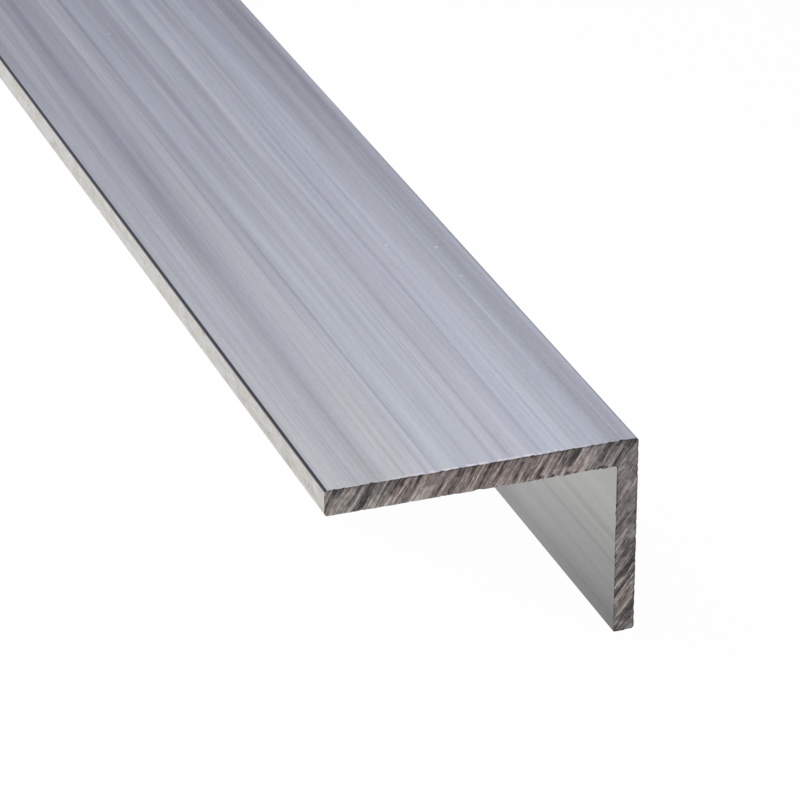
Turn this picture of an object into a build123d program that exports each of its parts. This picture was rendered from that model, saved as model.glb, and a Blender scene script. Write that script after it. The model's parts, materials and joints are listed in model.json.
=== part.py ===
from build123d import *

import os
from math import asin, atan2, degrees, hypot

# Unequal angle in mill-finish aluminium: one extruded L section, cut to a stock length.
# It lies as it comes to rest by itself, like a low roof: heel up, on the inner corners of
# both toes, with the wide leg sloping down to -X. Its length runs along Y, and the end that
# the photograph shows is at -Y. All sizes are in millimetres.

# Section, measured over the outside faces
WIDE_LEG = 38.0
SHORT_LEG = 25.0
WIDE_WALL = 3.2
SHORT_WALL = 2.6

# Corners of the section, as the die leaves them
HEEL_RADIUS = 0.4
ROOT_RADIUS = 0.3
WIDE_TOE_OUTER_RADIUS = 0.4
WIDE_TOE_INNER_RADIUS = 0.4
SHORT_TOE_OUTER_RADIUS = 0.5
SHORT_TOE_INNER_RADIUS = 0.2

# Stock length between the two sawn ends
LENGTH = 1000.0


def angle_section():
    """Gives the L section with its heel at the origin, the wide leg to -X and the short leg down."""
    corner_radii = [
        ((0, 0), HEEL_RADIUS),
        ((-WIDE_LEG, 0), WIDE_TOE_OUTER_RADIUS),
        ((-WIDE_LEG, -WIDE_WALL), WIDE_TOE_INNER_RADIUS),
        ((-SHORT_WALL, -WIDE_WALL), ROOT_RADIUS),
        ((-SHORT_WALL, -SHORT_LEG), SHORT_TOE_INNER_RADIUS),
        ((0, -SHORT_LEG), SHORT_TOE_OUTER_RADIUS),
    ]
    section = make_face(Polyline(*[corner for corner, _ in corner_radii], close=True))
    for corner, radius in corner_radii:
        sharp_corner = section.vertices().sort_by_distance(corner)[0]
        section = fillet(sharp_corner, radius)
    return section


def resting_slope():
    """Gives the wide leg's slope, in degrees, when both inner toe corners touch a level floor."""
    radius_step = WIDE_TOE_INNER_RADIUS - SHORT_TOE_INNER_RADIUS
    run = WIDE_LEG - SHORT_WALL - radius_step
    rise = SHORT_LEG - WIDE_WALL + radius_step
    return degrees(atan2(rise, run) - asin(radius_step / hypot(run, rise)))


def angle_bar():
    """Gives the whole bar at rest, with the origin under the middle of its length and width."""
    bar = extrude(Plane.XZ * angle_section(), LENGTH / 2, both=True)
    bar = Rot(0, -resting_slope(), 0) * bar
    box = bar.bounding_box()
    bar = Pos(-box.center().X, -box.center().Y, -box.min.Z) * bar
    bar.label = "angle_bar"
    return bar


os.makedirs("parts", exist_ok=True)
export_step(angle_bar(), "parts/angle_bar.step")
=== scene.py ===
import json
from math import cos, hypot, pi, sqrt

import bpy
from mathutils import Matrix, Vector, noise


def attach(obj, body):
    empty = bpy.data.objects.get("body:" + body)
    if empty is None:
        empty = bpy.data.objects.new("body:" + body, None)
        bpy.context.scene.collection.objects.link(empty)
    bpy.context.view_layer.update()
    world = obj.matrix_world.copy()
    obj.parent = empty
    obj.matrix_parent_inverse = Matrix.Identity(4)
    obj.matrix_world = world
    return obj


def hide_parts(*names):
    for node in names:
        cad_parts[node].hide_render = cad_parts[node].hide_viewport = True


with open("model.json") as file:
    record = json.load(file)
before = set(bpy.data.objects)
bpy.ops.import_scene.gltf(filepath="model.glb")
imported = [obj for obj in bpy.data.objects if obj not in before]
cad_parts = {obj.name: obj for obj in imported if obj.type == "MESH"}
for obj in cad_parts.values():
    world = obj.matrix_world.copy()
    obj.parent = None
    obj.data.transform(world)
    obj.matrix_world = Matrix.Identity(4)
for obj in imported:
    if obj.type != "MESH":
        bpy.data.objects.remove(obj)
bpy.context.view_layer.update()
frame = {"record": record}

# One length of unequal aluminium angle in bare mill finish, with sawn ends.
# It lies heel up on both toes. The section is drawn with two numbers in millimetres: "over"
# runs from the short leg's outer face towards the wide toe, and "down" runs from the wide
# leg's outer face towards the short toe. The third, "along", runs from the front sawn end.

MM = 0.001

# The section's place and size, read from the faces that the frame states
faces = {m["name"]: (Vector(m["pos_m"]), Vector(m["axis"])) for m in frame["record"]["mounts"]}
wide_at, wide_out = faces["wide_outer_face"]
short_at, short_out = faces["short_outer_face"]
to_wide_toe = -short_out
to_short_toe = -wide_out
to_back_end = Vector((0, 1, 0))
heel = wide_out * wide_at.dot(wide_out) + short_out * short_at.dot(short_out)
FRONT = faces["front_sawn_end"][0].y
LENGTH = (faces["back_sawn_end"][0].y - FRONT) / MM
WIDE_LEG = 2 * (wide_at - heel).dot(to_wide_toe) / MM
SHORT_LEG = 2 * (short_at - heel).dot(to_short_toe) / MM
WIDE_WALL = (faces["wide_inner_face"][0] - heel).dot(to_short_toe) / MM
SHORT_WALL = (faces["short_inner_face"][0] - heel).dot(to_wide_toe) / MM

# Corner radii in millimetres, as on the drawn section
HEEL_RADIUS = 0.4
ROOT_RADIUS = 0.3
WIDE_TOE_RADIUS = 0.4
SHORT_TOE_OUTER_RADIUS = 0.5
SHORT_TOE_INNER_RADIUS = 0.2


def spot(over, down, along):
    """Gives the place of a point of the bar, from millimetres on its section and along it."""
    across = (to_wide_toe * over + to_short_toe * down) * MM
    return heel + across + to_back_end * (FRONT + along * MM)


# Camera

FOCAL_PIXELS = 4389.9
PICTURE_PIXELS = 800
SENSOR = 36.0
CLIP_START = 0.01
CLIP_END = 100

# The camera's place and its aim on the wide outer face, in millimetres from the heel's front end
CAMERA_OVER = 178.8
CAMERA_ABOVE = 229.3
CAMERA_IN_FRONT = 408.0
AIM_OVER = 22.28
AIM_ALONG = 18.36


def place_camera():
    """Looks at the wide leg from the photograph's place, with that leg's outward direction upright."""
    data = bpy.data.cameras.new("camera")
    data.sensor_width = SENSOR
    data.lens = SENSOR * FOCAL_PIXELS / PICTURE_PIXELS
    data.clip_start = CLIP_START
    data.clip_end = CLIP_END
    camera = bpy.data.objects.new("camera", data)
    eye = spot(CAMERA_OVER, -CAMERA_ABOVE, -CAMERA_IN_FRONT)
    back = (eye - spot(AIM_OVER, 0, AIM_ALONG)).normalized()
    right = wide_out.cross(back).normalized()
    turn = Matrix((right, back.cross(right), back)).transposed()
    camera.matrix_world = Matrix.Translation(eye) @ turn.to_4x4()
    bpy.context.scene.collection.objects.link(camera)
    bpy.context.scene.camera = camera


# Shader arithmetic


class Wire:
    """One output of a shader node. Arithmetic on it adds Math nodes to the same bench."""

    def __init__(self, bench, socket):
        self.bench = bench
        self.socket = socket

    def math(self, operation, *values):
        return self.bench.math(operation, self, *values)

    def __add__(self, other):
        return self.math("ADD", other)

    def __radd__(self, other):
        return self.bench.math("ADD", other, self)

    def __sub__(self, other):
        return self.math("SUBTRACT", other)

    def __rsub__(self, other):
        return self.bench.math("SUBTRACT", other, self)

    def __mul__(self, other):
        return self.math("MULTIPLY", other)

    def __rmul__(self, other):
        return self.bench.math("MULTIPLY", other, self)


# Places of the Mix node's colour sockets
MIX_SHARE = 0
MIX_FIRST = 6
MIX_SECOND = 7
MIX_RESULT = 2


class Bench:
    """The nodes of one material or of the world."""

    def __init__(self, owner):
        owner.use_nodes = True
        self.tree = owner.node_tree
        self.tree.nodes.clear()

    def node(self, kind, settings=None, sockets=None, out=0):
        """Adds a node, with its settings first and its sockets' values or links after them."""
        made = self.tree.nodes.new("ShaderNode" + kind)
        for name, value in (settings or {}).items():
            if name == "stops":
                for number, (at, colour) in enumerate(value):
                    elements = made.color_ramp.elements
                    stop = elements[number] if number < len(elements) else elements.new(at)
                    stop.position, stop.color = at, (*colour, 1)
            else:
                setattr(made, name, value)
        for name, value in (sockets or {}).items():
            if isinstance(value, Wire):
                self.tree.links.new(value.socket, made.inputs[name])
            else:
                made.inputs[name].default_value = value
        return Wire(self, made.outputs[out]) if made.outputs else made

    def math(self, operation, *values):
        return self.node("Math", {"operation": operation}, dict(enumerate(values)))

    def vector(self, operation, *values, out=0):
        return self.node("VectorMath", {"operation": operation}, dict(enumerate(values)), out)

    def join(self, x, y, z):
        return self.node("CombineXYZ", {}, {"X": x, "Y": y, "Z": z})

    def mix(self, share, first, second, blend="MIX"):
        """Mixes two colours by a share, each colour given as three numbers or a wire."""
        first, second = (c if isinstance(c, Wire) else (*c, 1) for c in (first, second))
        sockets = {MIX_SHARE: share, MIX_FIRST: first, MIX_SECOND: second}
        return self.node("Mix", {"data_type": "RGBA", "blend_type": blend}, sockets, MIX_RESULT)

    def rise(self, value, low, high):
        """Goes smoothly from 0 where value is at low to 1 where it is at high."""
        sockets = dict(enumerate((value, low, high)))
        return self.node("MapRange", {"interpolation_type": "SMOOTHSTEP"}, sockets)

    def hump(self, value, centre, half_width):
        """Goes smoothly from 1 where value is at centre to 0 at half a width from it."""
        return self.rise(half_width - (value - centre).math("ABSOLUTE"), 0, half_width)

    def spread(self, wires, fineness, starts):
        """Gives a place for a texture from three wires, each with its own fineness and start."""
        return self.join(*(wire * fine + start for wire, fine, start in zip(wires, fineness, starts)))

    def patches(self, wires, fineness, starts, detail, roughness=0.5):
        """Gives soft noise round NOISE_MEAN, in patches that a higher fineness makes smaller."""
        place = self.spread(wires, fineness, starts)
        sockets = {"Vector": place, "Scale": 1.0, "Detail": detail, "Roughness": roughness}
        return self.node("TexNoise", {}, sockets)

    def give(self, kind, shader):
        """Ends the material or the world with its shader."""
        self.node(kind, {}, {"Surface": shader})


# Finishes

NOISE_MEAN = 0.5


def section_wires(bench):
    """Gives how far over, down and along a surface point lies, in millimetres."""
    place = bench.node("TexCoord", out="Object")
    from_heel = bench.vector("SUBTRACT", place, tuple(spot(0, 0, 0)))

    def measured(way):
        return bench.vector("DOT_PRODUCT", from_heel, tuple(way), out="Value") * (1 / MM)

    return measured(to_wide_toe), measured(to_short_toe), measured(to_back_end)


# Tints of the mill finish
MILL_BLUE = (0.573, 0.586, 0.584)
MILL_COOL = (0.573, 0.586, 0.568)
MILL_WARM = (0.597, 0.586, 0.541)
MILL_LILAC = (0.590, 0.578, 0.573)
MILL_GREEN = (0.577, 0.592, 0.540)
LEG_WARM = (0.591, 0.586, 0.559)
LEG_COOL = (0.605, 0.586, 0.598)
TOE_TINT = (0.600, 0.588, 0.560)
TOE_STAIN = (0.575, 0.525, 0.475)
TOE_COOL = (0.545, 0.575, 0.600)
TOE_DARK_REFLECTION = (0.060, 0.062, 0.075)
SPECK_PALE = (0.80, 0.81, 0.82)
SCUFF_PALE = (0.88, 0.83, 0.79)

# How deep each face's own finish reaches, and over how much it fades out
OUTER_FACE_DEPTH = 0.6
OUTER_FACE_FADE = 0.3
INNER_FACE_FADE = 0.2
TOE_FACE_FADE = 0.1

# Where the wide face turns from blue to cool and on to warm, and where along the bar that fades.
# A pair is a start and an end, and a band's pair is a centre and half a width.
COOL_OVER = (6, 20)
WARM_OVER = (24, 28)
WARM_FADES_ALONG = (20, 55)
WARM_FADES_BY = 0.5
PLAIN_BAND_OVER = (31, 3.5)
PLAIN_ALONG = (15, 40)

# Tints in streaks: width, length and seed of the streak, the noise's levels, and the tint
TINT_STREAKS = (
    ((3.0, 220, 3.1), (0.44, 0.68), MILL_LILAC),
    ((2.2, 130, 17.7), (0.48, 0.70), MILL_GREEN),
)
TINT_STREAK_SHARE = 0.55

# Tint of the short leg's inner face, from warm at the root to cool at the toe
LEG_COOL_DOWN = (10, 20)
LEG_TINT_SHARE = 0.8

# Streaks of shade: width, length and seed, and for the thin lines also the noise's detail
BROAD_STREAKS = (6.0, 120, 31.3)
MIDDLE_STREAKS = (1.6, 80, 47.2)
FINE_STREAKS = (0.55, 55, 59.4)
HAIR_STREAKS = (0.24, 40, 67.9)
DARK_LINES = (0.5, 150, 71.6, 0)
PALE_LINES = (0.4, 150, 83.8, 0)
DARK_LINE_LEVELS = (0.64, 0.74)
PALE_LINE_LEVELS = (0.66, 0.76)

# Patches: fineness over, down and along, the three starts, detail, and roughness unless it is 0.5
CLOUDS = ((0.8, 0.8, 0.16), (5.2, 5.7, 0.5), 3)
GRAINS = ((3.2, 3.2, 1.3), (2.3, 2.8, 0.5), 3)
TOE_MOTTLES = ((2.1, 2.1, 1.5), (6.4, 6.9, 0.5), 4, 0.65)
TOE_CLOUDS = ((1.0, 0.8, 0.35), (1.4, 1.9, 0.5), 2)
SCUFF_RAGS = ((1.6, 1.6, 0.0), (3.3, 3.8, 0.5), 3)

# The toe's stains, with the fineness down first and over second
TOE_STAINS = ((1.1, 0.5, 0.5), (9.2, 9.7, 0.3), 4, 0.6)

# How deeply each of them shades the metal
BROAD_SHADE = 0.24
MIDDLE_SHADE = 0.30
FINE_SHADE = 0.42
HAIR_SHADE = 0.17
CLOUD_SHADE = 0.06
GRAIN_SHADE = 0.20
DARK_LINE_SHADE = 0.055
PALE_LINE_SHADE = 0.07

# How much of the streaks and of the grain the short leg's inner face lacks
LEG_LESS_STREAKS = 0.80
LEG_LESS_GRAIN = 0.45

# The wide face gets paler towards its toe further along the bar
FAR_LIFT = 0.07
FAR_LIFT_OVER = (31, 35)
FAR_LIFT_ALONG = (25, 60)

# Bands that the die left on the wide outer face: place over, half width, and depth of shade
DIE_BANDS = (
    (36.6, 2.4, -0.035),
    (34.5, 0.4, -0.06),
    (31.4, 1.9, 0.14),
    (27.0, 0.5, -0.05),
    (24.5, 0.4, 0.12),
    (22.8, 1.0, -0.06),
    (18.8, 1.4, -0.05),
    (15.6, 0.8, 0.11),
    (13.4, 0.8, -0.055),
    (11.6, 0.6, 0.07),
    (8.5, 0.9, -0.03),
    (5.6, 3.2, 0.11),
    (2.6, 2.5, 0.23),
    (1.2, 1.4, 0.09),
    (0.0, 1.2, 0.17),
)

# Bands on the short leg's inner face: place down, half width, and depth of shade
LEG_BANDS = (
    (12.6, 0.9, 0.08),
    (13.0, 0.3, 0.06),
    (13.6, 0.3, -0.05),
    (16.0, 0.4, 0.08),
    (23.0, 0.8, 0.06),
)

# Painted shade on the short leg's inner face: how much darker it is all over, for each millimetre nearer
# its toe, and near each sawn end
LEG_PAINTED_SHADE = 0.11
LEG_SHADE_FROM = 9.0
LEG_SHADE_SLOPE = 0.0265
LEG_END_SHADE = 0.23
LEG_END_REACH = 28.0

# How dull, mottled, cloudy and stained the wide toe is
TOE_DULL = 0.05
TOE_MOTTLE_SHADE = 0.72
TOE_CLOUD_SHADE = 0.90
TOE_STAIN_LEVELS = (0.42, 0.66)
TOE_STAIN_SHARE = 0.8
TOE_COOL_LEVELS = (0.03, 0.12)
TOE_COOL_SHARE = 0.6

# The painted dark reflection along the wide toe's upper edge, measured from the toe and from the outer face
TOE_REFLECTION_FROM = 0.46
TOE_REFLECTION_FULL = 0.32
TOE_REFLECTION_DOWN = 0.28
TOE_REFLECTION_FADE = 0.14
TOE_REFLECTION_SHARE = 0.95

# Pale specks: the cells that they lie in, their size, and which cells have one
SPECK_CELLS = ((1 / 6, 1 / 6, 1 / 9), (0.3, 0.3, 0.0))
SPECK_SIZE = 0.045
SPECK_FADE = 0.025
SPECK_CHOICE = (0.45, 0.75)
SPECK_SHARE = 0.6

# Pale scuffs on the wide outer face along the sawn rims
SCUFF_REACH = 0.75
SCUFF_FADE = 0.4
SCUFF_LEVELS = (0.40, 0.58)
SCUFF_BAND_OVER = (19, 17)

# Relief and gloss
HAIR_RELIEF = 0.5
DARK_LINE_RELIEF = 0.5
RELIEF_STRENGTH = 0.3
RELIEF_DEPTH = 0.02
MILL_ROUGHNESS = 0.40
ROUGHNESS_SWING = 0.3


def mill_finish():
    """Bare extruded aluminium: fine streaks and soft bands along the bar, with a few die lines."""
    material = bpy.data.materials.new("mill_finish")
    bench = Bench(material)
    surface = section_wires(bench)
    over, down, along = surface

    def streaks(width, length, seed, detail=2.0):
        """Gives soft noise in lines along the bar, each about width wide and length long."""
        return bench.patches(surface, (1 / width, 1 / width, 1 / length), (seed, seed + 0.5, 0.5), detail)

    on_wide_outer = bench.rise(OUTER_FACE_DEPTH - down, 0, OUTER_FACE_FADE)
    below_root = bench.rise(down, WIDE_WALL, WIDE_WALL + INNER_FACE_FADE)
    on_short_inner = below_root * bench.rise(over, SHORT_WALL / 2, SHORT_WALL)
    on_wide_toe = bench.rise(over, WIDE_LEG - TOE_FACE_FADE, WIDE_LEG)
    elsewhere = 1 - on_short_inner
    from_end = LENGTH / 2 - (along - LENGTH / 2).math("ABSOLUTE")

    # Tint
    tint = bench.mix(bench.rise(over, *COOL_OVER), MILL_BLUE, MILL_COOL)
    warm = bench.rise(over, *WARM_OVER) * (1 - bench.rise(along, *WARM_FADES_ALONG) * WARM_FADES_BY)
    warm = warm * (1 - bench.hump(over, *PLAIN_BAND_OVER) * bench.rise(along, *PLAIN_ALONG))
    tint = bench.mix(warm, tint, MILL_WARM)
    for streak, levels, streak_tint in TINT_STREAKS:
        tint = bench.mix(bench.rise(streaks(*streak), *levels) * TINT_STREAK_SHARE, tint, streak_tint)
    leg_tint = bench.mix(bench.rise(down, *LEG_COOL_DOWN), LEG_WARM, LEG_COOL)
    tint = bench.mix(on_short_inner * LEG_TINT_SHARE, tint, leg_tint)
    tint = bench.mix(on_wide_toe, tint, TOE_TINT)

    # Shade
    broad = streaks(*BROAD_STREAKS) - NOISE_MEAN
    middle = streaks(*MIDDLE_STREAKS) - NOISE_MEAN
    fine = streaks(*FINE_STREAKS) - NOISE_MEAN
    hair = streaks(*HAIR_STREAKS) - NOISE_MEAN
    cloud = bench.patches(surface, *CLOUDS) - NOISE_MEAN
    grain = bench.patches(surface, *GRAINS) - NOISE_MEAN
    shade = broad * BROAD_SHADE + middle * MIDDLE_SHADE + fine * FINE_SHADE + hair * HAIR_SHADE
    shade = (shade + cloud * CLOUD_SHADE) * (1 - on_short_inner * LEG_LESS_STREAKS)
    shade = shade + grain * (1 - on_short_inner * LEG_LESS_GRAIN) * GRAIN_SHADE
    shade = shade + bench.rise(over, *FAR_LIFT_OVER) * bench.rise(along, *FAR_LIFT_ALONG) * FAR_LIFT
    for band_over, half_width, depth in DIE_BANDS:
        shade = shade - bench.hump(over, band_over, half_width) * on_wide_outer * depth
    for band_down, half_width, depth in LEG_BANDS:
        shade = shade - bench.hump(down, band_down, half_width) * on_short_inner * depth
    # Painted shade on the short leg's inner face, darker towards its toe and near each sawn end
    foot_shade = (down - LEG_SHADE_FROM).math("MAXIMUM", 0) * LEG_SHADE_SLOPE
    end_shade = (1 - from_end * (1 / LEG_END_REACH)).math("MAXIMUM", 0) * LEG_END_SHADE
    shade = shade - on_short_inner * (foot_shade + end_shade + LEG_PAINTED_SHADE)
    dark_lines = bench.rise(streaks(*DARK_LINES), *DARK_LINE_LEVELS) * elsewhere
    pale_lines = bench.rise(streaks(*PALE_LINES), *PALE_LINE_LEVELS) * elsewhere
    mottle = bench.patches(surface, *TOE_MOTTLES) - NOISE_MEAN
    toe_cloud = bench.patches(surface, *TOE_CLOUDS) - NOISE_MEAN
    toe_shade = mottle * TOE_MOTTLE_SHADE + toe_cloud * TOE_CLOUD_SHADE - TOE_DULL
    shade = 1 + shade - dark_lines * DARK_LINE_SHADE + pale_lines * PALE_LINE_SHADE
    shade = shade + on_wide_toe * toe_shade
    colour = bench.mix(1.0, tint, bench.join(shade, shade, shade), "MULTIPLY")

    # Stains of the wide toe, specks, scuffs by the sawn rims, and a painted dark reflection along the toe's
    # upper edge
    stain = bench.rise(bench.patches((down, over, along), *TOE_STAINS), *TOE_STAIN_LEVELS)
    colour = bench.mix(on_wide_toe * stain * TOE_STAIN_SHARE, colour, TOE_STAIN)
    cool = bench.rise(toe_cloud, *TOE_COOL_LEVELS)
    colour = bench.mix(on_wide_toe * cool * TOE_COOL_SHARE, colour, TOE_COOL)
    cells = {"Vector": bench.spread(surface, *SPECK_CELLS), "Scale": 1.0}
    from_speck = bench.node("TexVoronoi", {}, cells, "Distance")
    cell_chance = bench.node("SeparateColor", {}, {0: bench.node("TexVoronoi", {}, cells, "Color")})
    specks = bench.rise(SPECK_SIZE - from_speck, 0, SPECK_FADE) * bench.rise(cell_chance, *SPECK_CHOICE)
    colour = bench.mix(specks * elsewhere * SPECK_SHARE, colour, SPECK_PALE)
    ragged = bench.rise(bench.patches(surface, *SCUFF_RAGS), *SCUFF_LEVELS)
    scuffs = bench.rise(SCUFF_REACH - from_end, 0, SCUFF_FADE) * ragged * bench.hump(over, *SCUFF_BAND_OVER)
    colour = bench.mix(scuffs * on_wide_outer, colour, SCUFF_PALE)
    # Painted dark reflection along the wide toe's upper edge
    toe_reflection = bench.rise(over, WIDE_LEG - TOE_REFLECTION_FROM, WIDE_LEG - TOE_REFLECTION_FULL)
    toe_reflection = toe_reflection * bench.rise(TOE_REFLECTION_DOWN - down, 0, TOE_REFLECTION_FADE)
    colour = bench.mix(toe_reflection * TOE_REFLECTION_SHARE, colour, TOE_DARK_REFLECTION)

    # Relief and gloss
    relief = hair * HAIR_RELIEF + fine + middle - dark_lines * DARK_LINE_RELIEF
    bump = {"Strength": RELIEF_STRENGTH, "Distance": RELIEF_DEPTH * MM, "Height": relief}
    metal = {
        "Base Color": colour,
        "Metallic": 1.0,
        "Roughness": MILL_ROUGHNESS + middle * ROUGHNESS_SWING,
        "Normal": bench.node("Bump", {}, bump),
    }
    bench.give("OutputMaterial", bench.node("BsdfPrincipled", {}, metal))
    return material


# Colours of the sawn metal, all made darker with painted shade, and the tones at which it is dark with
# painted shade, of its own colour, and pale with painted light
SAWN_PAINTED_SHADE = (0.041, 0.036, 0.035)
SAWN_BROWN = (0.222, 0.167, 0.150)
SAWN_GREY = (0.182, 0.170, 0.152)
SAWN_PALE = (0.480, 0.425, 0.385)
TONE_DARK = -0.05
TONE_BODY = 0.46
TONE_PALE = 1.05
SAWN_METALLIC = 0.6
SAWN_ROUGHNESS = 0.55

# The saw's marks run straight into the metal, so their noise hardly changes along the bar
MARK_ALONG = 0.002
MARK_DETAIL = 3
MARK_ROUGHNESS = 0.65

# Fine marks, as width, length and seed, and how strongly they show
HAIR_MARKS = (0.12, 2.4, 5.3)
HAIR_TONE = 2.2
FINE_MARKS = (0.40, 2.8, 13.7)
FINE_TONE = 0.5

# Down the short leg the finest marks are calm in one band and coarse from another on
CALM_BAND_DOWN = (8, 5)
CALM_BY = 0.4
COARSE_DOWN = (11.5, 14)
COARSE_BY = 1.2

# Scratches: width, length and seed, the noise's levels, and how much paler they are
SCRATCHES = (
    ((0.20, 2.2, 23.1), (0.58, 0.68), -0.24),
    ((0.15, 3.4, 61.9), (0.60, 0.70), 0.22),
)

# Patches on the sawn ends: fineness over, down and along, the three starts, detail and roughness
SAWN_BENDS = ((1.1, 1.1, 0.0), (2.4, 6.8, 0.5), 3, 0.6)
SAWN_BEND = 0.5
SAWN_GRAINS = ((3.5, 3.5, 0.0), (8.1, 8.6, 0.5), 4, 0.65)
SAWN_GRAIN_TONE = 0.45

# Where the metal is brown or grey: in broad marks, and in parts of the section. The heel's span
# counts how much further down than over a point lies.
GREY_MARKS = (1.4, 6.0, 37.9)
GREY_LEVELS = (0.36, 0.56)
BROWN_BAND_OVER = (18, 14)
BROWN_BELOW_WALL = 1.0
BROWN_SHARE = 0.7
GREY_TOE_OVER = (32, 36)
GREY_HEEL_SPAN = (WIDE_WALL / 2 - 8, WIDE_WALL / 2 - 2)
GREY_SHARE = 0.75
LOW_BROWN_DOWN = (20.3, 2.6)
LOW_BROWN_SHARE = 0.6


def sawn_finish():
    """Rough sawn metal, darkened all over with painted shade, with painted shade in the grooves that the
    saw left and painted light on their crests.
    """
    material = bpy.data.materials.new("sawn_finish")
    bench = Bench(material)
    surface = section_wires(bench)
    over, down, along = surface
    across, mark = saw_way(over, down)
    across = across + (bench.patches(surface, *SAWN_BENDS) - NOISE_MEAN) * SAWN_BEND

    def marks(width, length, seed):
        """Gives soft noise in lines along the saw's marks, each about width wide and length long."""
        way = (across, mark, along)
        fineness = (1 / width, 1 / length, MARK_ALONG)
        return bench.patches(way, fineness, (seed, seed, 0.5), MARK_DETAIL, MARK_ROUGHNESS)

    # Tone
    tone = bench.node("Attribute", {"attribute_name": "saw_tone"}, out="Fac")
    calm = bench.hump(down, *CALM_BAND_DOWN) * CALM_BY
    coarse = bench.rise(down, *COARSE_DOWN) * COARSE_BY
    tone = tone + (marks(*HAIR_MARKS) - NOISE_MEAN) * (HAIR_TONE - calm + coarse)
    tone = tone + (marks(*FINE_MARKS) - NOISE_MEAN) * FINE_TONE
    tone = tone + (bench.patches(surface, *SAWN_GRAINS) - NOISE_MEAN) * SAWN_GRAIN_TONE
    for scratch, levels, paler in SCRATCHES:
        tone = tone + bench.rise(marks(*scratch), *levels) * paler

    # Colour
    body = bench.mix(bench.rise(marks(*GREY_MARKS), *GREY_LEVELS), SAWN_BROWN, SAWN_GREY)
    in_wide = bench.rise(WIDE_WALL + BROWN_BELOW_WALL - down, 0, BROWN_BELOW_WALL)
    body = bench.mix(bench.hump(over, *BROWN_BAND_OVER) * in_wide * BROWN_SHARE, body, SAWN_BROWN)
    near_toe = bench.rise(over, *GREY_TOE_OVER)
    near_heel = bench.rise(down - over, *GREY_HEEL_SPAN)
    body = bench.mix((near_toe + near_heel) * GREY_SHARE, body, SAWN_GREY)
    body = bench.mix(bench.hump(down, *LOW_BROWN_DOWN) * LOW_BROWN_SHARE, body, SAWN_BROWN)
    # Painted shade in the grooves and the dug-in marks, and painted light on the crests
    colour = bench.mix(bench.rise(tone, TONE_DARK, TONE_BODY), SAWN_PAINTED_SHADE, body)
    colour = bench.mix(bench.rise(tone, TONE_BODY, TONE_PALE), colour, SAWN_PALE)
    metal = {"Base Color": colour, "Metallic": SAWN_METALLIC, "Roughness": SAWN_ROUGHNESS}
    bench.give("OutputMaterial", bench.node("BsdfPrincipled", {}, metal))
    return material


# Sawn ends

# How the saw's marks lean and bend, and how a place along them is counted
MARK_LEAN = 0.62
MARK_BEND = 0.003
MARK_PER_OVER = 0.53
MARK_PER_DOWN = 0.85


def saw_way(over, down):
    """Gives a point's place across the saw's marks and along them. Takes numbers or wires."""
    across = over - down * MARK_LEAN - down * down * MARK_BEND
    mark = over * MARK_PER_OVER + down * MARK_PER_DOWN
    return across, mark


# Deepest groove in millimetres, and the tone before any mark
SAW_GROOVE = 0.14
SAW_MEAN = 0.50

# Layers of the saw's marks: width, length and share of the tone
SAW_LAYERS = ((1.5, 9.0, 0.16), (0.6, 5.0, 0.26), (0.28, 3.0, 0.32))
LAYER_SEED = 9
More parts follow.
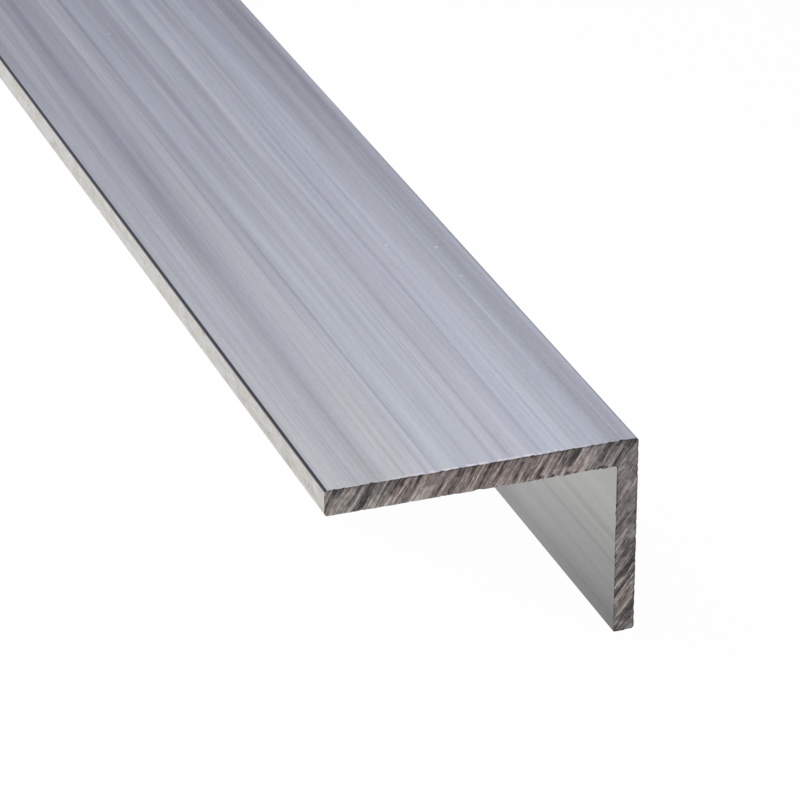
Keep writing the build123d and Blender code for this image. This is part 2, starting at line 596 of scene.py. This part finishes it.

# Painted shade where the saw dug in on the front end: over, down, half width, half height, depth of shade.
# The last seven rows are painted shade at small places where it tore the wide leg's lower rim.
SAW_SHADE_MARKS = (
    (36.8, 0.2, 0.5, 0.6, 0.26),
    (37.9, 2.2, 0.2, 1.0, 0.20),
    (35.2, 0.5, 0.2, 1.0, 0.22),
    (33.1, 1.5, 0.6, 2.4, 0.55),
    (32.6, 1.6, 0.8, 3.0, 0.06),
    (31.6, 2.6, 0.2, 0.8, 0.20),
    (30.7, 1.0, 0.25, 1.5, 0.42),
    (28.8, 0.3, 0.6, 1.0, 0.36),
    (29.5, 1.4, 0.6, 1.4, 0.24),
    (28.8, 2.9, 0.5, 0.6, 0.24),
    (27.2, 1.5, 0.22, 2.0, 0.28),
    (26.4, 2.0, 0.3, 0.8, 0.30),
    (25.4, 0.7, 0.3, 1.3, 0.25),
    (21.5, 0.4, 0.5, 0.8, 0.40),
    (22.4, 1.8, 0.5, 2.0, 0.30),
    (22.9, 2.6, 0.4, 0.7, 0.18),
    (21.8, 1.6, 1.4, 3.2, 0.10),
    (20.2, 1.0, 0.3, 2.2, 0.30),
    (19.0, 1.6, 1.4, 3.2, 0.09),
    (17.9, 0.2, 0.5, 0.5, 0.25),
    (18.9, 1.6, 0.24, 2.2, 0.36),
    (17.1, 1.6, 0.2, 1.6, 0.14),
    (14.7, 1.6, 0.24, 1.7, 0.30),
    (15.2, 2.6, 0.4, 0.7, 0.22),
    (13.4, 2.2, 0.4, 0.8, 0.28),
    (11.4, 1.2, 0.28, 2.0, 0.34),
    (12.3, 2.4, 0.5, 0.8, 0.32),
    (7.6, 0.5, 0.7, 1.0, 0.34),
    (8.2, 1.4, 0.45, 1.6, 0.40),
    (9.0, 1.2, 0.6, 1.2, 0.20),
    (6.3, 2.6, 0.3, 0.8, 0.22),
    (4.6, 1.6, 1.6, 3.2, 0.09),
    (4.0, 1.2, 0.38, 1.8, 0.40),
    (2.4, 0.3, 0.3, 0.5, 0.25),
    (1.8, 1.6, 0.5, 2.0, 0.30),
    (0.6, 0.2, 0.8, 0.5, 0.30),
    (1.0, 1.8, 1.6, 2.2, 0.10),
    (0.4, 5.2, 0.25, 1.0, 0.14),
    (1.4, 10.2, 0.3, 1.0, 0.20),
    (1.3, 13.5, 0.5, 0.8, 0.30),
    (0.2, 13.0, 0.3, 1.0, 0.25),
    (1.3, 14.6, 1.6, 2.4, 0.13),
    (1.2, 14.8, 0.35, 0.8, 0.32),
    (0.3, 15.6, 0.25, 0.6, 0.25),
    (1.6, 17.2, 0.45, 1.3, 0.46),
    (1.2, 17.6, 1.4, 1.8, 0.06),
    (2.0, 19.6, 0.25, 1.2, 0.30),
    (0.8, 18.9, 0.2, 1.0, 0.20),
    (1.2, 20.9, 0.2, 1.0, 0.18),
    (0.6, 22.4, 0.7, 1.6, 0.56),
    (1.0, 22.2, 1.4, 1.6, 0.10),
    (1.2, 23.8, 1.8, 2.2, 0.22),
    (2.0, 24.2, 0.25, 0.8, 0.28),
    (12.1, 3.1, 0.4, 0.45, 0.65),
    (10.6, 3.1, 0.3, 0.35, 0.65),
    (9.0, 3.1, 0.35, 0.4, 0.65),
    (7.9, 3.2, 0.2, 0.3, 0.55),
    (6.4, 3.2, 0.25, 0.35, 0.60),
    (4.7, 3.15, 0.5, 0.4, 0.70),
    (3.9, 3.15, 0.3, 0.3, 0.60),
)

# Where the front end is paler
PALE_MARKS = (
    (36.0, 1.6, 1.8, 3.2, 0.08),
    (35.9, 1.8, 0.7, 1.6, 0.12),
    (33.9, 1.2, 0.14, 1.4, 0.26),
    (31.9, 2.4, 0.5, 1.0, 0.20),
    (30.4, 2.6, 0.7, 0.9, 0.24),
    (29.4, 1.6, 1.2, 3.2, 0.07),
    (26.0, 1.6, 1.6, 3.2, 0.19),
    (10.6, 1.6, 6.5, 3.2, 0.05),
    (29.0, 1.6, 0.15, 1.8, 0.28),
    (27.9, 1.6, 0.5, 2.2, 0.16),
    (25.6, 2.3, 0.5, 0.8, 0.28),
    (24.6, 1.2, 0.5, 1.6, 0.12),
    (23.8, 2.6, 0.2, 0.9, 0.22),
    (21.5, 1.8, 0.4, 1.6, 0.12),
    (19.6, 1.4, 0.15, 1.6, 0.18),
    (16.4, 1.6, 0.3, 1.8, 0.12),
    (14.0, 1.8, 0.15, 2.0, 0.24),
    (12.0, 1.6, 1.5, 3.2, 0.08),
    (10.0, 2.0, 0.16, 1.4, 0.30),
    (9.0, 2.7, 0.6, 0.7, 0.20),
    (7.5, 1.3, 0.16, 1.8, 0.40),
    (6.6, 2.1, 0.25, 1.5, 0.26),
    (5.1, 2.7, 0.4, 0.6, 0.16),
    (3.0, 2.0, 0.4, 1.8, 0.12),
    (1.3, 4.8, 1.4, 1.8, 0.09),
    (1.3, 6.4, 1.2, 1.8, 0.10),
    (1.6, 6.6, 0.18, 1.6, 0.40),
    (0.3, 5.6, 0.20, 0.6, 0.34),
    (0.9, 10.0, 0.15, 1.4, 0.24),
    (1.3, 15.8, 0.14, 1.2, 0.24),
    (1.4, 17.9, 0.14, 1.6, 0.30),
    (1.5, 19.9, 0.5, 2.4, 0.26),
    (1.3, 22.0, 0.16, 2.0, 0.44),
    (1.7, 23.3, 0.14, 1.2, 0.34),
)

# Noise on the sawn ends: size over, size down, seed and height
WIDE_BEND = (3.0, 2.0, 7.5, 0.25)
SMALL_BEND = (0.6, 0.6, 3.5, 0.06)
SMALL_GRAIN = (0.45, 0.45, 11.5, 0.20)
RIM_PATCHES = (0.9, 0.9, 15.5, 1.0)
TEARS = (0.55, 0.55, 21.5, 1.0)
SMALL_BURRS = (0.4, 0.4, 27.5, 0.6)
LONG_BURRS = (1.7, 1.7, 33.5, 0.6)
END_SEED = 40


def ripple(first, second, end, width, length, seed, height):
    """Gives smooth noise round 0 at two numbers of a place on one end."""
    return height * noise.noise(Vector((first / width, second / length, end * END_SEED + seed)))


def clamp(value):
    """Keeps a number between 0 and 1."""
    return min(1.0, max(0.0, value))


def fade(gap, reach):
    """Goes from 1, up to halfway out, smoothly to 0 at the reach."""
    left = clamp(2 - 2 * abs(gap) / reach)
    return left * left * (3 - 2 * left)


def mark_shade(over, down, marks):
    """Gives the marks' joint depth of shade at one point."""
    across, _ = saw_way(over, down)
    total = 0.0
    for mark_over, mark_down, half_width, half_height, depth in marks:
        if abs(down - mark_down) < half_height:
            aside = fade(across - saw_way(mark_over, mark_down)[0], half_width)
            total += depth * aside * fade(down - mark_down, half_height)
    return total


# How strongly the saw marked each part, and how much paler each part is: the wide leg paler towards its
# lower rim, the short leg calm above and coarse below
CALM_STRENGTH = 0.62
COARSE_STRENGTH = 0.84
COARSE_FROM = 11.0
COARSE_TO = 14.0
WIDE_LIFT = 0.31
WIDE_LEVEL = 0.40
SHORT_LIFT = -0.05

# Round the root the wide leg's marks turn into the short leg's, from a depth and over a depth
TURN_FROM = 0.6
TURN_DEPTH = 2.6


def cut_strength(over, down):
    """Gives how strong the saw's marks are at one point, and how much paler it is."""
    in_short = clamp((down - max(0.0, over - SHORT_WALL / 2) - TURN_FROM) / TURN_DEPTH)
    coarse = clamp((down - COARSE_FROM) / (COARSE_TO - COARSE_FROM))
    short_strength = CALM_STRENGTH + (COARSE_STRENGTH - CALM_STRENGTH) * coarse
    wide_lift = WIDE_LIFT * (min(down, WIDE_WALL) / WIDE_WALL - WIDE_LEVEL)
    return 1 + (short_strength - 1) * in_short, wide_lift + (SHORT_LIFT - wide_lift) * in_short


# How much darker the outer rims are, in patches, and how far in from them
RIM_SHADE = 0.40
RIM_SHADE_REACH = 0.30
RIM_SHADE_LEVEL = 0.6


def edge_gap(over, down):
    """Gives how far a point of the section lies from its nearest face."""
    if down > WIDE_WALL:
        return max(0.0, min(over, SHORT_WALL - over, SHORT_LEG - down))
    if over > SHORT_WALL:
        return max(0.0, min(down, WIDE_WALL - down, WIDE_LEG - over))
    return max(0.0, min(over, down))


def saw_tone(over, down, end):
    """Gives how pale the sawn face is, from 0 in a groove dark with painted shade to 1 on a crest pale with
    painted light.
    """
    bend = ripple(over, down, end, *WIDE_BEND) + ripple(over, down, end, *SMALL_BEND)
    across, mark = saw_way(over + bend, down)
    strength, lift = cut_strength(over, down)
    tone = SAW_MEAN
    for width, length, share in SAW_LAYERS:
        tone += ripple(across, mark, end, width, length, width * LAYER_SEED, strength * share)
    tone += ripple(over, down, end, *SMALL_GRAIN)
    tone += lift
    if end == 0:
        drawn = mark_shade(over + bend, down, PALE_MARKS) - mark_shade(over + bend, down, SAW_SHADE_MARKS)
        tone += (strength + 1) / 2 * drawn
    if down > WIDE_WALL or down < WIDE_WALL / 2:
        patchy = RIM_SHADE_LEVEL + ripple(over, down, end, *RIM_PATCHES)
        tone -= RIM_SHADE * patchy * max(0.0, 1 - edge_gap(over, down) / RIM_SHADE_REACH)
    return clamp(tone)


# Rims of the sawn ends, in millimetres: how far the rim stands back, how grooves run out
# towards it, and how it is torn and burred
RIM_BREAK = 0.02
RIM_GROOVE_SHARE = 0.5
RIM_GROOVE_REACH = 0.35
TEAR_DEPTH = 0.30
TEAR_REACH = 0.40
TEAR_LEVEL = 0.08
BURR_HEIGHT = 0.05
BURR_REACH = 0.6
BURR_CLEAR = 1.2
SHORT_BURR_SHARE = 0.5
ON_FACE = 1e-6

# The wide leg's lower rim is the most ragged near the root
RAGGED_TO = 13.5
RAGGED_TIMES = 4.0


def groove_depth(over, down, tone):
    """Gives how deep the saw's groove is. Grooves run out towards the rim."""
    inward = min(1.0, edge_gap(over, down) / RIM_GROOVE_REACH)
    return SAW_GROOVE * (1 - tone) * (RIM_GROOVE_SHARE + (1 - RIM_GROOVE_SHARE) * inward)


def rim_tear(over, down, end):
    """Gives how deep the saw tore the rim away. Most of the rim is whole."""
    near_rim = max(0.0, 1 - edge_gap(over, down) / TEAR_REACH) ** 2
    return TEAR_DEPTH * near_rim * max(0.0, ripple(over, down, end, *TEARS) - TEAR_LEVEL)


def burr_room(place, first, last):
    """Gives 1 where a flat from first to last has room for a burr, and 0 near its corners."""
    free = min(place - first, last - place) - BURR_CLEAR / 2
    return clamp(free / BURR_CLEAR)


def rim_burr(over, down, end):
    """Gives how far the saw pushed a rim point out of its face, over and down. Corners stay put."""
    height = ripple(over, down, end, *SMALL_BURRS) + ripple(over, down, end, *LONG_BURRS)
    height *= BURR_HEIGHT
    for flat_down, way, first in ((0.0, -1, 0.0), (WIDE_WALL, 1, SHORT_WALL)):
        if abs(down - flat_down) < ON_FACE:
            if way == 1 and over < RAGGED_TO:
                height *= RAGGED_TIMES
            return 0.0, way * height * burr_room(over, first, WIDE_LEG)
    for flat_over, way, first in ((0.0, -1, 0.0), (SHORT_WALL, 1, WIDE_WALL)):
        if abs(over - flat_over) < ON_FACE:
            return way * height * SHORT_BURR_SHARE * burr_room(down, first, SHORT_LEG), 0.0
    return 0.0, 0.0


# Mesh of the bar

# Distance between the points of an end face in millimetres, and steps round a corner
STEP = 0.1
ARC_STEPS = 5


def arc_steps(radius):
    """Gives places from the tip of a rounded corner to where its flat begins."""
    return [radius * (1 - cos(pi / 2 * k / ARC_STEPS)) for k in range(ARC_STEPS + 1)]


def even_steps(first, last):
    """Gives even places between two ends, without them."""
    count = max(2, round((last - first) / STEP))
    return [first + (last - first) * k / count for k in range(1, count)]


def bulge(depth, radius):
    """Gives how far a rounded corner's edge stands in, at a depth from its tip."""
    return radius - sqrt(max(0.0, radius**2 - (radius - min(depth, radius)) ** 2))


def wide_columns():
    """Gives the places across the wide leg, from heel to toe, and the number of the root's place."""
    first = arc_steps(HEEL_RADIUS) + even_steps(HEEL_RADIUS, SHORT_WALL) + [SHORT_WALL]
    root = [SHORT_WALL + a for a in arc_steps(ROOT_RADIUS)[1:]]
    toe = [WIDE_LEG - a for a in reversed(arc_steps(WIDE_TOE_RADIUS))]
    columns = first + root + even_steps(SHORT_WALL + ROOT_RADIUS, WIDE_LEG - WIDE_TOE_RADIUS) + toe
    return columns, len(first) - 1


def wide_limits(over):
    """Gives the wide leg's upper and lower edge at one place across it."""
    top = bulge(over, HEEL_RADIUS) + bulge(WIDE_LEG - over, WIDE_TOE_RADIUS)
    if over <= SHORT_WALL:
        return top, WIDE_WALL + ROOT_RADIUS
    return top, WIDE_WALL + bulge(over - SHORT_WALL, ROOT_RADIUS) - bulge(WIDE_LEG - over, WIDE_TOE_RADIUS)


def short_limits(down):
    """Gives the short leg's outer and inner edge at one place down it."""
    outer = bulge(SHORT_LEG - down, SHORT_TOE_OUTER_RADIUS)
    return outer, SHORT_WALL - bulge(SHORT_LEG - down, SHORT_TOE_INNER_RADIUS)


def section_grid():
    """Gives the section's points, its quads, and its rim as a closed loop that starts at the heel."""
    columns, root = wide_columns()
    rows = max(2, round(WIDE_WALL / STEP))
    points, quads = [], []
    wide = []
    for over in columns:
        top, bottom = wide_limits(over)
        wide.append([len(points) + k for k in range(rows + 1)])
        points += [(over, top + (bottom - top) * k / rows) for k in range(rows + 1)]
    for left, right in zip(wide, wide[1:]):
        quads += [(left[k], right[k], right[k + 1], left[k + 1]) for k in range(rows)]
    toe = [SHORT_LEG - a for a in reversed(arc_steps(SHORT_TOE_OUTER_RADIUS))]
    first = WIDE_WALL + ROOT_RADIUS
    short = [[wide[k][rows] for k in range(root + 1)]]
    for down in even_steps(first, toe[0]) + toe:
        outer, inner = short_limits(down)
        short.append([len(points) + k for k in range(root + 1)])
        points += [(outer + (inner - outer) * columns[k] / SHORT_WALL, down) for k in range(root + 1)]
    for upper, lower in zip(short, short[1:]):
        quads += [(upper[k], upper[k + 1], lower[k + 1], lower[k]) for k in range(root)]
    rim = [column[0] for column in wide]
    rim += wide[-1][1:]
    rim += [column[rows] for column in reversed(wide[root:-1])]
    rim += [row[root] for row in short[1:]]
    rim += list(reversed(short[-1][:-1]))
    rim += [row[0] for row in reversed(short[:-1])]
    rim += list(reversed(wide[0][1:-1]))
    return points, quads, rim


# How far each ring of the skin lies from its end, in millimetres, and where the skin is true again
END_RINGS = (0.0, 0.06, 0.14, 0.26, 0.45, 0.8, 1.5, 3.0, 6.0, 12.0)
MIDDLE_RINGS = 8
TRUE_FROM = 3.0

# Painted shade in a tear: how much darker it is for each millimetre of its depth
TEAR_SHADE = 1.6


def ring_places():
    """Gives the places of the skin's rings along the bar."""
    last = END_RINGS[-1]
    middle = [last + (LENGTH - 2 * last) * k / MIDDLE_RINGS for k in range(1, MIDDLE_RINGS)]
    return list(END_RINGS) + middle + [LENGTH - a for a in reversed(END_RINGS)]


# The flat map that carries the finish, in shares of its side: the skin as left, low, width and
# height, each end's corner, and the share of a millimetre on the ends
MAP_SKIN = (0.005, 0.330, 0.990, 0.665)
MAP_ENDS = ((0.005, 0.005), (0.505, 0.005))
MAP_END_SCALE = 0.0118

# The front stretch of the bar in millimetres, and its share of the skin's width on the map
FRONT_STRETCH = 160.0
FRONT_SHARE = 0.38


def map_along(along):
    """Gives a place along the bar on the flat map, where the front gets more than its share."""
    if along < FRONT_STRETCH:
        return FRONT_SHARE * along / FRONT_STRETCH
    return FRONT_SHARE + (1 - FRONT_SHARE) * (along - FRONT_STRETCH) / (LENGTH - FRONT_STRETCH)


def behind_end(over, down, depth, end):
    """Gives the place of a point that lies a depth behind one end."""
    return spot(over, down, LENGTH - depth if end else depth)


def rim_depths(points, rim, end):
    """Gives how far each rim point lies behind the end's own plane."""
    depths = []
    for k in rim:
        over, down = points[k]
        groove = groove_depth(over, down, saw_tone(over, down, end))
        depths.append(groove + RIM_BREAK + rim_tear(over, down, end))
    return depths


def skin_ring(points, rim, place, depths, end):
    """Gives one ring's points. Near the end it follows the torn rim, and further in it is true."""
    burr = max(0.0, 1 - place / BURR_REACH) ** 2
    follow = max(0.0, 1 - place / TRUE_FROM)
    ring = []
    for k, depth in zip(rim, depths):
        over, down = points[k]
        out_over, out_down = rim_burr(over, down, end)
        ring.append(behind_end(over + out_over * burr, down + out_down * burr, place + depth * follow, end))
    return ring


def sawn_bar():
    """Makes the bar: two grooved end faces and the skin between them, as one closed mesh."""
    points, quads, rim = section_grid()
    places = ring_places()
    depths = [rim_depths(points, rim, end) for end in (0, 1)]
    vertices, tones, ends = [], [], []
    for end in (0, 1):
        ends.append([len(vertices) + k for k in range(len(points))])
        rim_place = dict(zip(rim, skin_ring(points, rim, 0.0, depths[end], end)))
        for number, (over, down) in enumerate(points):
            tone = saw_tone(over, down, end)
            tear = rim_tear(over, down, end)
            depth = groove_depth(over, down, tone) + tear
            vertices.append(rim_place.get(number) or behind_end(over, down, depth, end))
            # A tear gets painted shade, darker the deeper it is
            tones.append(max(0.0, tone - tear * TEAR_SHADE))
    rings = [[ends[0][k] for k in rim]]
    for place in places[1:-1]:
        rings.append([len(vertices) + k for k in range(len(rim))])
        end = 1 if place > LENGTH / 2 else 0
        vertices += skin_ring(points, rim, LENGTH - place if end else place, depths[end], end)
        tones += [SAW_MEAN] * len(rim)
    rings.append([ends[1][k] for k in rim])
    front_end = [tuple(reversed([ends[0][k] for k in quad])) for quad in quads]
    back_end = [tuple(ends[1][k] for k in quad) for quad in quads]
    skin = []
    for ring, behind in zip(rings, rings[1:]):
        for k in range(len(rim)):
            after = (k + 1) % len(rim)
            skin.append((ring[k], ring[after], behind[after], behind[k]))
    mesh = bpy.data.meshes.new("sawn_angle")
    mesh.from_pydata(vertices, [], front_end + back_end + skin)
    mesh.attributes.new("saw_tone", "FLOAT", "POINT").data.foreach_set("value", tones)
    lay_out_map(mesh, points, rim, places, len(quads))
    mesh.materials.append(mill_finish())
    mesh.materials.append(sawn_finish())
    for face in mesh.polygons:
        face.use_smooth = True
        face.material_index = 1 if face.index < 2 * len(quads) else 0
    keep_rims_sharp(mesh, (rings[0], rings[-1]))
    bar = bpy.data.objects.new("sawn_angle", mesh)
    bpy.context.scene.collection.objects.link(bar)
    return bar


def keep_rims_sharp(mesh, rings):
    """Stops the shading from running over the sawn rims."""
    rim_edges = {frozenset(pair) for ring in rings for pair in zip(ring, ring[1:] + ring[:1])}
    for edge in mesh.edges:
        edge.use_edge_sharp = frozenset(edge.vertices) in rim_edges


def lay_out_map(mesh, points, rim, places, end_faces):
    """Lays the skin and both ends out flat, so that each has room for its own detail."""
    around = [0.0]
    for k in range(len(rim)):
        (a, b), (c, d) = points[rim[k]], points[rim[(k + 1) % len(rim)]]
        around.append(around[-1] + hypot(c - a, d - b))
    left, low, width, height = MAP_SKIN
    flat = mesh.uv_layers.new(name="OFBake").data
    for face in mesh.polygons:
        if face.index < 2 * end_faces:
            end = face.index // end_faces
            corner = MAP_ENDS[end]
            for loop in face.loop_indices:
                over, down = points[mesh.loops[loop].vertex_index - end * len(points)]
                flat[loop].uv = (corner[0] + over * MAP_END_SCALE, corner[1] + down * MAP_END_SCALE)
        else:
            ring, k = divmod(face.index - 2 * end_faces, len(rim))
            corners = ((k, ring), (k + 1, ring), (k + 1, ring + 1), (k, ring + 1))
            for loop, (round_at, ring_at) in zip(face.loop_indices, corners):
                upward = low + height * around[round_at] / around[-1]
                flat[loop].uv = (left + width * map_along(places[ring_at]), upward)


# Stage and light

FLOOR_SIDE = 60.0
FLOOR_WHITE = 0.90
FLOOR_GLOW = 0.975

# The soft sky by height, from level with the floor to overhead
SKY = (
    (0.0, (1.0, 1.0, 1.0)),
    (0.25, (0.40, 0.41, 0.523)),
    (0.60, (0.388, 0.398, 0.528)),
    (1.0, (0.70, 0.73, 0.89)),
)

# Lamps: name, place and target in metres, side, watts and colour
LAMPS = (
    ("left_window", (-1.6, -1.2, 0.7), (0, -0.3, 0), 1.2, 28, (1.0, 0.96, 0.90)),
    ("overhead", (0, -0.16, 0.30), (0, -0.5, 0), 0.20, 0.087, (0.95, 0.96, 1.0)),
)


def lay_floor():
    """A white floor that keeps a faint shadow and shows nothing from below."""
    mesh = bpy.data.meshes.new("floor")
    half = FLOOR_SIDE / 2
    corners = [(-half, -half, 0), (half, -half, 0), (half, half, 0), (-half, half, 0)]
    mesh.from_pydata(corners, [], [(0, 1, 2, 3)])
    floor = bpy.data.objects.new("floor", mesh)
    bpy.context.scene.collection.objects.link(floor)
    material = bpy.data.materials.new("floor_white")
    bench = Bench(material)
    lit = bench.node("BsdfDiffuse", {}, {"Color": (FLOOR_WHITE, FLOOR_WHITE, FLOOR_WHITE, 1)})
    glow = bench.node("Emission", {}, {"Color": (1, 1, 1, 1), "Strength": 1.0})
    seen = bench.node("LightPath", out="Is Camera Ray") + bench.node("LightPath", out="Is Transmission Ray")
    seen = seen + bench.node("LightPath", out="Is Glossy Ray")
    top = bench.node("MixShader", {}, {0: seen * FLOOR_GLOW, 1: lit, 2: glow})
    below = bench.node("NewGeometry", out="Backfacing")
    through = bench.node("BsdfTransparent")
    bench.give("OutputMaterial", bench.node("MixShader", {}, {0: below, 1: top, 2: through}))
    mesh.materials.append(material)


def light_world():
    """A soft sky, white near the floor and cool above."""
    world = bpy.data.worlds.new("studio")
    bpy.context.scene.world = world
    bench = Bench(world)
    way = bench.node("TexCoord", out="Generated")
    height = bench.vector("DOT_PRODUCT", way, (0, 0, 1), out="Value")
    sky = bench.node("ValToRGB", {"stops": SKY}, {0: height})
    bench.give("OutputWorld", bench.node("Background", {}, {"Color": sky, "Strength": 1.0}))


def hang_lamp(name, place, target, side, watts, colour):
    """A square soft lamp that the camera doesn't see."""
    data = bpy.data.lights.new(name, "AREA")
    data.size = side
    data.energy = watts
    data.color = colour
    lamp = bpy.data.objects.new(name, data)
    lamp.location = place
    lamp.rotation_euler = (Vector(target) - Vector(place)).to_track_quat("-Z", "Y").to_euler()
    lamp.visible_camera = False
    bpy.context.scene.collection.objects.link(lamp)


bpy.context.scene.view_settings.view_transform = "Standard"
bar = sawn_bar()
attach(bar, "root")
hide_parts("angle_bar")
place_camera()
lay_floor()
light_world()
for lamp in LAMPS:
    hang_lamp(*lamp)
